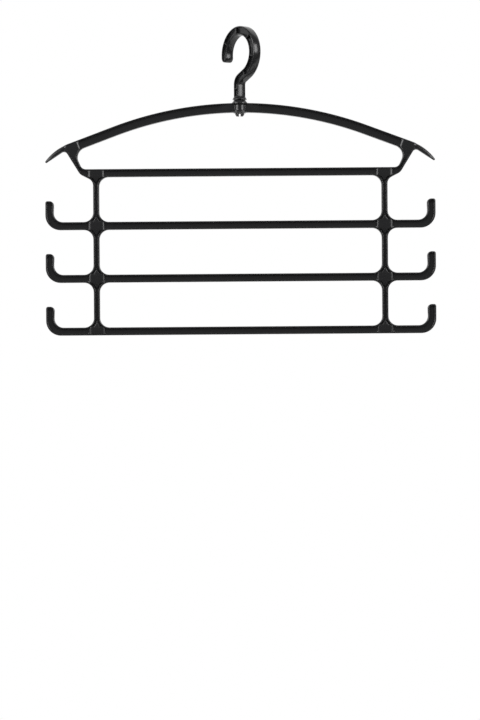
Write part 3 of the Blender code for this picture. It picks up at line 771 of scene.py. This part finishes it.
def split(mesh):
    """The pin less a box up from its foot, a slot that lets the barb spring in."""
    shape = bmesh.new()
    bmesh.ops.create_cube(shape, size=1)
    box = bpy.data.meshes.new("slot")
    shape.to_mesh(box)
    shape.free()
    box.transform(Matrix.Diagonal((SPLIT_WIDTH * MM, 4 * BORE_RADIUS * MM,
                                   2 * SPLIT_HEIGHT * MM, 1)))
    box.transform(Matrix.Translation((0, 0, PIN_FOOT_Z * MM)))
    whole = added(bpy.data.objects.new("whole_pin", mesh))
    cutter = added(bpy.data.objects.new("slot", box))
    cut = whole.modifiers.new("slot", 'BOOLEAN')
    cut.operation = 'DIFFERENCE'
    cut.object = cutter
    graph = bpy.context.evaluated_depsgraph_get()
    made = bpy.data.meshes.new_from_object(whole.evaluated_get(graph))
    made.set_sharp_from_angle(angle=SHARP_ANGLE)
    for helper in (whole, cutter):
        bpy.data.objects.remove(helper)
    return made


# The hook's middle line runs up the stem to BEND, along DIAGONAL to JOIN and round the arc.
# Lengths along it start at the top of the flange, and the rounding at BEND shortens them.
DIAGONAL = np.array([cos(DIAGONAL_RISE), sin(DIAGONAL_RISE)])
ARC_START = DIAGONAL_RISE - pi / 2
JOIN = ARC_CENTRE + ARC_RADIUS * np.array([cos(ARC_START), sin(ARC_START)])
BEND = meet(JOIN, DIAGONAL, (0, 0), (0, 1))
BEND_TURN = pi / 2 - DIAGONAL_RISE
BEND_SAVING = STEM_BEND_RADIUS * (2 * tan(BEND_TURN / 2) - BEND_TURN)
BEND_LENGTH = BEND[1] - FLANGE_TOP_Z
JOIN_LENGTH = BEND_LENGTH - BEND_SAVING + np.dot(JOIN - BEND, DIAGONAL)


def hook_corners():
    """The top hook's outline in its own plane, clockwise: up the stem's left side, round the
    inside of the arc to the tip, round the tip, and back along the outside."""
    half = HOOK_HALF_HEIGHT
    pieces = 3
    step = (TIP_ANGLE - ARC_START) / pieces

    def arc(radius):
        middle = ARC_START + step * (np.arange(pieces) + 0.5)
        spokes = np.stack([np.cos(middle), np.sin(middle)], axis=1)
        return [(*place, radius) for place in ARC_CENTRE + radius / cos(step / 2) * spokes]

    def bend(side):
        slope = BEND + side * half * left_of(DIAGONAL)
        return [(*meet((-side * half, 0), (0, 1), slope, DIAGONAL),
                 STEM_BEND_RADIUS + side * half)]

    ahead = np.array([-sin(TIP_ANGLE), cos(TIP_ANGLE)])
    aside = left_of(ahead) * half
    end = ARC_CENTRE + ARC_RADIUS * np.array([cos(TIP_ANGLE), sin(TIP_ANGLE)]) + ahead * half
    tip = [(*(end + aside), half), (*(end - aside), half)]
    return ([(-half, STEM_FOOT_Z, SHARP)] + bend(1) + arc(ARC_RADIUS - half) + tip
            + arc(ARC_RADIUS + half)[::-1] + bend(-1) + [(half, STEM_FOOT_Z, SHARP)])


def hook_along(points):
    """Distance along the hook's middle line of the place nearest to each point, from the top
    of the flange: up the stem, along the diagonal, then the angle round the arc."""
    stem = points[:, 1] - FLANGE_TOP_Z
    slope = BEND_LENGTH - BEND_SAVING + (points - BEND) @ DIAGONAL
    about = points - ARC_CENTRE
    turn = np.arctan2(about[:, 1], about[:, 0]) - ARC_START
    arc = JOIN_LENGTH + ARC_RADIUS * (np.mod(turn + ARC_LEAD, 2 * pi) - ARC_LEAD)
    on_stem = (points - BEND) @ unit(DIAGONAL + (0, 1)) < 0
    on_slope = (points - JOIN) @ DIAGONAL < 0
    low = points[:, 1] < JOIN[1] + JOIN_RISE
    return np.where(on_stem & low, stem, np.where(on_slope & low, slope, arc))


def hook_place(along):
    """Place and direction of the hook's middle line, a distance along it from the flange."""
    if along < BEND_LENGTH - BEND_SAVING / 2:
        return np.array([0, FLANGE_TOP_Z + along]), np.array([0, 1.0])
    if along < JOIN_LENGTH:
        return BEND + DIAGONAL * (along - BEND_LENGTH + BEND_SAVING), DIAGONAL
    angle = ARC_START + (along - JOIN_LENGTH) / ARC_RADIUS
    spoke = np.array([cos(angle), sin(angle)])
    return ARC_CENTRE + ARC_RADIUS * spoke, left_of(spoke)


def rib_points():
    """Points of the hook's web, in rows across it along the edges of each rib: the rib's
    middle line, less and plus its half thickness and the steps of its rounding."""
    foot = STEM_SOLID - RIB_ROUND + slope_steps(RIB_ROUND)
    edge = RIB_HALF - RIB_ROUND / 2 + slope_steps(RIB_ROUND)
    ribs = np.arange(FIRST_RIB, HOOK_LENGTH, RIB_PITCH)
    alongs = np.append(foot, np.add.outer(ribs, np.append(-edge[::-1], edge)))
    across = np.linspace(-HOOK_HALF_HEIGHT, HOOK_HALF_HEIGHT, 19)[:, None]
    rows = []
    for along in alongs:
        place, direction = hook_place(along)
        rows.append(place + across * left_of(direction))
    return np.concatenate(rows)


def hook_ribs(points):
    """Height of the ribs in the hook's recess, from 0 on the web to 1 flush with its rim."""
    along = hook_along(points)
    off = np.abs(np.mod(along - FIRST_RIB + RIB_PITCH / 2, RIB_PITCH) - RIB_PITCH / 2)
    off = np.where(along < FIRST_RIB - RIB_PITCH / 2, RIB_PITCH, off)
    ribs = quarter_round(off - RIB_HALF + RIB_ROUND / 2, RIB_ROUND)
    foot = quarter_round(along - STEM_SOLID + RIB_ROUND, RIB_ROUND)
    return np.maximum(ribs, foot)


def shader_node(tree, kind, spot, inputs=None, **settings):
    """Shader node of a kind at a spot in the tree, with its properties and inputs set."""
    made = tree.nodes.new(kind)
    made.location = spot
    for name, value in settings.items():
        setattr(made, name, value)
    for name, value in (inputs or {}).items():
        made.inputs[name].default_value = value
    return made


def join(tree, *links):
    """Links a node's output to a node's input, each given as (node, output, node, input)."""
    for source, output, target, entry in links:
        tree.links.new(source.outputs[output], target.inputs[entry])


def new_material(name):
    """Material with an empty node tree, and that tree."""
    material = bpy.data.materials.new(name)
    material.use_nodes = True
    material.node_tree.nodes.clear()
    return material, material.node_tree


def new_group(name, inputs, output):
    """Node group with number inputs, given with their values, and one number output."""
    group = bpy.data.node_groups.new(name, 'ShaderNodeTree')
    for label, value in inputs.items():
        group.interface.new_socket(label, in_out='INPUT', socket_type='NodeSocketFloat')
        group.interface.items_tree[label].default_value = value
    group.interface.new_socket(output, in_out='OUTPUT', socket_type='NodeSocketFloat')
    given = shader_node(group, 'NodeGroupInput', (-900, 0))
    return group, given, shader_node(group, 'NodeGroupOutput', (500, 0))


def noise(group, given, size, spot, detail, roughness=0.5):
    """Noise on Object coordinates, whose scale is one of the group's inputs."""
    place = shader_node(group, 'ShaderNodeTexCoord', (-900, 250))
    made = shader_node(group, 'ShaderNodeTexNoise', spot,
                       {"Detail": detail, "Roughness": roughness})
    join(group, (place, "Object", made, "Vector"), (given, size, made, "Scale"))
    return made


def put_out_mask(group, given, result, first, second):
    """Puts out two outputs' product * the group's amount."""
    kept = shader_node(group, 'ShaderNodeMath', (0, 100), operation='MULTIPLY')
    mask = shader_node(group, 'ShaderNodeMath', (250, 0), operation='MULTIPLY')
    join(group, (*first, kept, 0), (*second, kept, 1), (kept, "Value", mask, 0),
         (given, "Amount", mask, 1), (mask, "Value", result, "Mask"))


def grain_group():
    """Fine unevenness of a moulded skin, as a height: a broad swell + small pits * an amount."""
    group, given, result = new_group(
        "moulded_grain", {"Swell size": 45.0, "Pit size": 1400.0, "Pits": 0.35}, "Height")
    swell = noise(group, given, "Swell size", (-600, 200), 2.0)
    pits = noise(group, given, "Pit size", (-600, -100), 3.0, 0.6)
    scaled = shader_node(group, 'ShaderNodeMath', (-300, -100), operation='MULTIPLY')
    total = shader_node(group, 'ShaderNodeMath', (0, 0), operation='ADD')
    join(group, (pits, "Fac", scaled, 0), (given, "Pits", scaled, 1), (swell, "Fac", total, 0),
         (scaled, "Value", total, 1), (total, "Value", result, "Height"))
    return group


def wear_group():
    """Rubbed edges, as a mask: the attribute "edge" * the patches of a noise * the amount."""
    group, given, result = new_group(
        "rubbed_edges", {"Patch size": 220.0, "Amount": 0.5}, "Mask")
    edge = shader_node(group, 'ShaderNodeAttribute', (-600, -200), attribute_name="edge")
    patch = noise(group, given, "Patch size", (-600, 200), 4.0)
    broken = shader_node(group, 'ShaderNodeMapRange', (-300, 200),
                         {"From Min": 0.42, "From Max": 0.68})
    join(group, (patch, "Fac", broken, "Value"))
    put_out_mask(group, given, result, (broken, "Result"), (edge, "Fac"))
    return group


def dust_group():
    """Dust on surfaces that face up, as a mask: the normal's upward part * a noise * the
    amount."""
    group, given, result = new_group(
        "settled_dust", {"Cloud size": 90.0, "Amount": 0.5}, "Mask")
    surface = shader_node(group, 'ShaderNodeNewGeometry', (-900, -250))
    axes = shader_node(group, 'ShaderNodeSeparateXYZ', (-700, -250))
    upward = shader_node(group, 'ShaderNodeMapRange', (-450, -250),
                         {"From Min": 0.45, "From Max": 0.95})
    cloud = noise(group, given, "Cloud size", (-600, 200), 5.0)
    join(group, (surface, "Normal", axes, "Vector"), (axes, "Z", upward, "Value"))
    put_out_mask(group, given, result, (cloud, "Fac"), (upward, "Result"))
    return group


def black_plastic(name, groups, roughness, wear, dust):
    """Moulded black plastic: satin, a little uneven in sheen, paler where its edges are rubbed
    and where dust has settled. The roughness is roughness + 0.05 * the swell + 0.12 * the wear
    + 0.3 * the dust."""
    grain, rubbed, settled = groups
    material, tree = new_material(name)
    out = shader_node(tree, 'ShaderNodeOutputMaterial', (900, 0))
    shader = shader_node(tree, 'ShaderNodeBsdfPrincipled', (600, 0))
    skin = shader_node(tree, 'ShaderNodeGroup', (-700, -300),
                       {"Swell size": 45.0, "Pit size": 1400.0, "Pits": 0.3}, node_tree=grain)
    edges = shader_node(tree, 'ShaderNodeGroup', (-700, 100),
                        {"Patch size": 220.0, "Amount": wear}, node_tree=rubbed)
    dusted = shader_node(tree, 'ShaderNodeGroup', (-700, 350),
                         {"Cloud size": 90.0, "Amount": dust}, node_tree=settled)
    worn = shader_node(tree, 'ShaderNodeMix', (-300, 250), data_type='RGBA')
    worn.inputs[6].default_value = BLACK
    worn.inputs[7].default_value = RUBBED_BLACK
    colour = shader_node(tree, 'ShaderNodeMix', (0, 250), data_type='RGBA')
    colour.inputs[7].default_value = DUST_GREY
    sheen = shader_node(tree, 'ShaderNodeMapRange', (-300, -50), {
        "From Min": 0.35, "From Max": 0.95,
        "To Min": roughness - 0.025, "To Max": roughness + 0.025})
    duller = shader_node(tree, 'ShaderNodeMath', (0, -50), {1: 0.12}, operation='MULTIPLY_ADD')
    dullest = shader_node(tree, 'ShaderNodeMath', (250, -50), {1: 0.3},
                          operation='MULTIPLY_ADD')
    bump = shader_node(tree, 'ShaderNodeBump', (250, -300),
                       {"Strength": 0.12, "Distance": 0.00005})
    join(tree, (edges, "Mask", worn, 0), (worn, 2, colour, 6), (dusted, "Mask", colour, 0),
         (colour, 2, shader, "Base Color"), (skin, "Height", sheen, "Value"),
         (edges, "Mask", duller, 0), (sheen, "Result", duller, 2), (dusted, "Mask", dullest, 0),
         (duller, "Value", dullest, 2), (dullest, "Value", shader, "Roughness"),
         (skin, "Height", bump, "Height"), (bump, "Normal", shader, "Normal"),
         (shader, "BSDF", out, "Surface"))
    return material


def floor_sheet():
    """Flat matt sheet of pale paper for the floor."""
    material, tree = new_material("paper")
    out = shader_node(tree, 'ShaderNodeOutputMaterial', (300, 0))
    shader = shader_node(tree, 'ShaderNodeBsdfPrincipled', (0, 0),
                         {"Base Color": PAPER_WHITE, "Roughness": 0.9})
    join(tree, (shader, "BSDF", out, "Surface"))
    mesh = bpy.data.meshes.new("floor")
    left, right = -FLOOR_HALF_WIDTH, FLOOR_HALF_WIDTH
    mesh.from_pydata([(left, FLOOR_FRONT, FLOOR_Z), (right, FLOOR_FRONT, FLOOR_Z),
                      (right, FLOOR_BACK, FLOOR_Z), (left, FLOOR_BACK, FLOOR_Z)],
                     [], [(0, 1, 2, 3)])
    mesh.materials.append(material)
    added(bpy.data.objects.new("floor", mesh))


def camera():
    """Camera level with the middle of the picture, rolled as the photograph is."""
    data = bpy.data.cameras.new("camera")
    data.sensor_fit = 'VERTICAL'
    data.sensor_width = SENSOR
    data.sensor_height = SENSOR
    data.lens = SENSOR * VIEW_DISTANCE / VIEW_HEIGHT
    obj = added(bpy.data.objects.new("camera", data))
    turn = Matrix.Rotation(pi / 2, 4, 'X') @ Matrix.Rotation(VIEW_ROLL, 4, 'Z')
    stand = Vector(VIEW_CENTRE) + Vector((0, -VIEW_DISTANCE, 0))
    obj.matrix_world = Matrix.Translation(stand) @ turn
    bpy.context.scene.camera = obj


def softbox(name, azimuth, elevation, width, height, power):
    """Area lamp aimed at the middle of the hanger, at an azimuth from the front."""
    data = bpy.data.lights.new(name, 'AREA')
    data.shape = 'RECTANGLE'
    data.size = width
    data.size_y = height
    data.energy = power
    obj = added(bpy.data.objects.new(name, data))
    away = Vector((sin(azimuth) * cos(elevation), -cos(azimuth) * cos(elevation), sin(elevation)))
    facing = away.to_track_quat('Z', 'Y').to_matrix().to_4x4()
    obj.matrix_world = Matrix.Translation(Vector(LAMP_AIM) + away * LAMP_DISTANCE) @ facing
    obj.visible_camera = False
    return obj


def surroundings():
    """White to the camera, and behind the hanger white to what mirrors it or shows through.
    To everything else it is a pale backdrop behind, which shades into the grey of the room in
    front, and that into the dark ceiling."""
    world = bpy.data.worlds.new("world")
    world.use_nodes = True
    tree = world.node_tree
    tree.nodes.clear()
    out = shader_node(tree, 'ShaderNodeOutputWorld', (400, 0))
    shown = shader_node(tree, 'ShaderNodeBackground', (0, 100),
                        {"Color": (1, 1, 1, 1), "Strength": 1.0})
    lit = shader_node(tree, 'ShaderNodeBackground', (0, -100))
    place = shader_node(tree, 'ShaderNodeTexCoord', (-1000, -100))
    axes = shader_node(tree, 'ShaderNodeSeparateXYZ', (-800, -100))
    ceiling = shader_node(tree, 'ShaderNodeMapRange', (-600, 0), {
        "From Min": 0.25, "From Max": 0.6, "To Min": ROOM, "To Max": CEILING,
    }, interpolation_type='SMOOTHSTEP')
    backdrop = shader_node(tree, 'ShaderNodeMapRange', (-600, -300),
                           {"From Min": 0.15, "From Max": 0.35},
                           interpolation_type='SMOOTHSTEP')
    blend = shader_node(tree, 'ShaderNodeMix', (-300, -100), data_type='FLOAT')
    blend.inputs[3].default_value = BACKDROP
    ray = shader_node(tree, 'ShaderNodeLightPath', (-900, 400))
    mirrored_ray = shader_node(tree, 'ShaderNodeMath', (-600, 300), operation='MAXIMUM')
    behind = shader_node(tree, 'ShaderNodeMath', (-400, 300), operation='MULTIPLY')
    seen = shader_node(tree, 'ShaderNodeMath', (-200, 300), operation='MAXIMUM')
    mix = shader_node(tree, 'ShaderNodeMixShader', (200, 0))
    join(tree, (place, "Generated", axes, "Vector"), (axes, "Z", ceiling, "Value"),
         (axes, "Y", backdrop, "Value"), (backdrop, "Result", blend, 0),
         (ceiling, "Result", blend, 2), (blend, 0, lit, "Strength"),
         (ray, "Is Glossy Ray", mirrored_ray, 0), (ray, "Is Transmission Ray", mirrored_ray, 1),
         (mirrored_ray, "Value", behind, 0), (backdrop, "Result", behind, 1),
         (ray, "Is Camera Ray", seen, 0), (behind, "Value", seen, 1),
         (seen, "Value", mix, "Fac"), (lit, "Background", mix, 1),
         (shown, "Background", mix, 2), (mix, "Shader", out, "Surface"))
    bpy.context.scene.world = world


# The build
effects = (grain_group(), wear_group(), dust_group())
frame_black = black_plastic("frame_plastic", effects, roughness=0.23, wear=0.1, dust=0.04)
hook_black = black_plastic("hook_plastic", effects, roughness=0.2, wear=0.12, dust=0.04)

outlines = [Outline(frame_corners(), frame_spacing)]
outlines += [Outline(window_corners(tier), frame_spacing) for tier in range(TIER_COUNT - 1)]
frame_rim = rim_profile(half_depth=4.0, draft=0.06, edge_round=1.1, rim=1.6, recess=2.0,
                        fillet=0.35)
frame_mesh = plate("frame", outlines, frame_rim, frame_pads, pad_points(), spike_form)
show("moulded_frame", frame_mesh, "frame", frame_black, "hanger_frame")
hub_mesh = turned_mesh("hub", hub_section())
show("swivel_hub", hub_mesh, "frame", frame_black, "hanger_frame")

hook_outline = Outline(hook_corners(), lambda points: np.full(len(points), HOOK_SPACING))
hook_rim = rim_profile(half_depth=HOOK_HALF_WIDTH, draft=0.05, edge_round=1.2, rim=1.5,
                       recess=3.0, fillet=0.4)
hook_mesh = plate("hook", [hook_outline], hook_rim, hook_ribs, rib_points(), plain_form)
hook_mesh.transform(Matrix.Rotation(SWIVEL_ANGLE, 4, 'Z'))
show("top_hook", hook_mesh, "hook", hook_black, "swivel_hook")
pin_mesh = split(turned_mesh("pin", pin_section(), SWIVEL_ANGLE))
show("snap_pin", pin_mesh, "hook", hook_black, "swivel_hook")

floor_sheet()
camera()
surroundings()
for name, azimuth in (("left_softbox", radians(-54)), ("right_softbox", radians(54))):
    softbox(name, azimuth, elevation=radians(18), width=3.4, height=2.6, power=160)
overhead = softbox("overhead", 0, elevation=radians(58), width=3.0, height=2.0, power=100)
overhead.visible_glossy = False

bpy.context.scene.view_settings.view_transform = 'Standard'
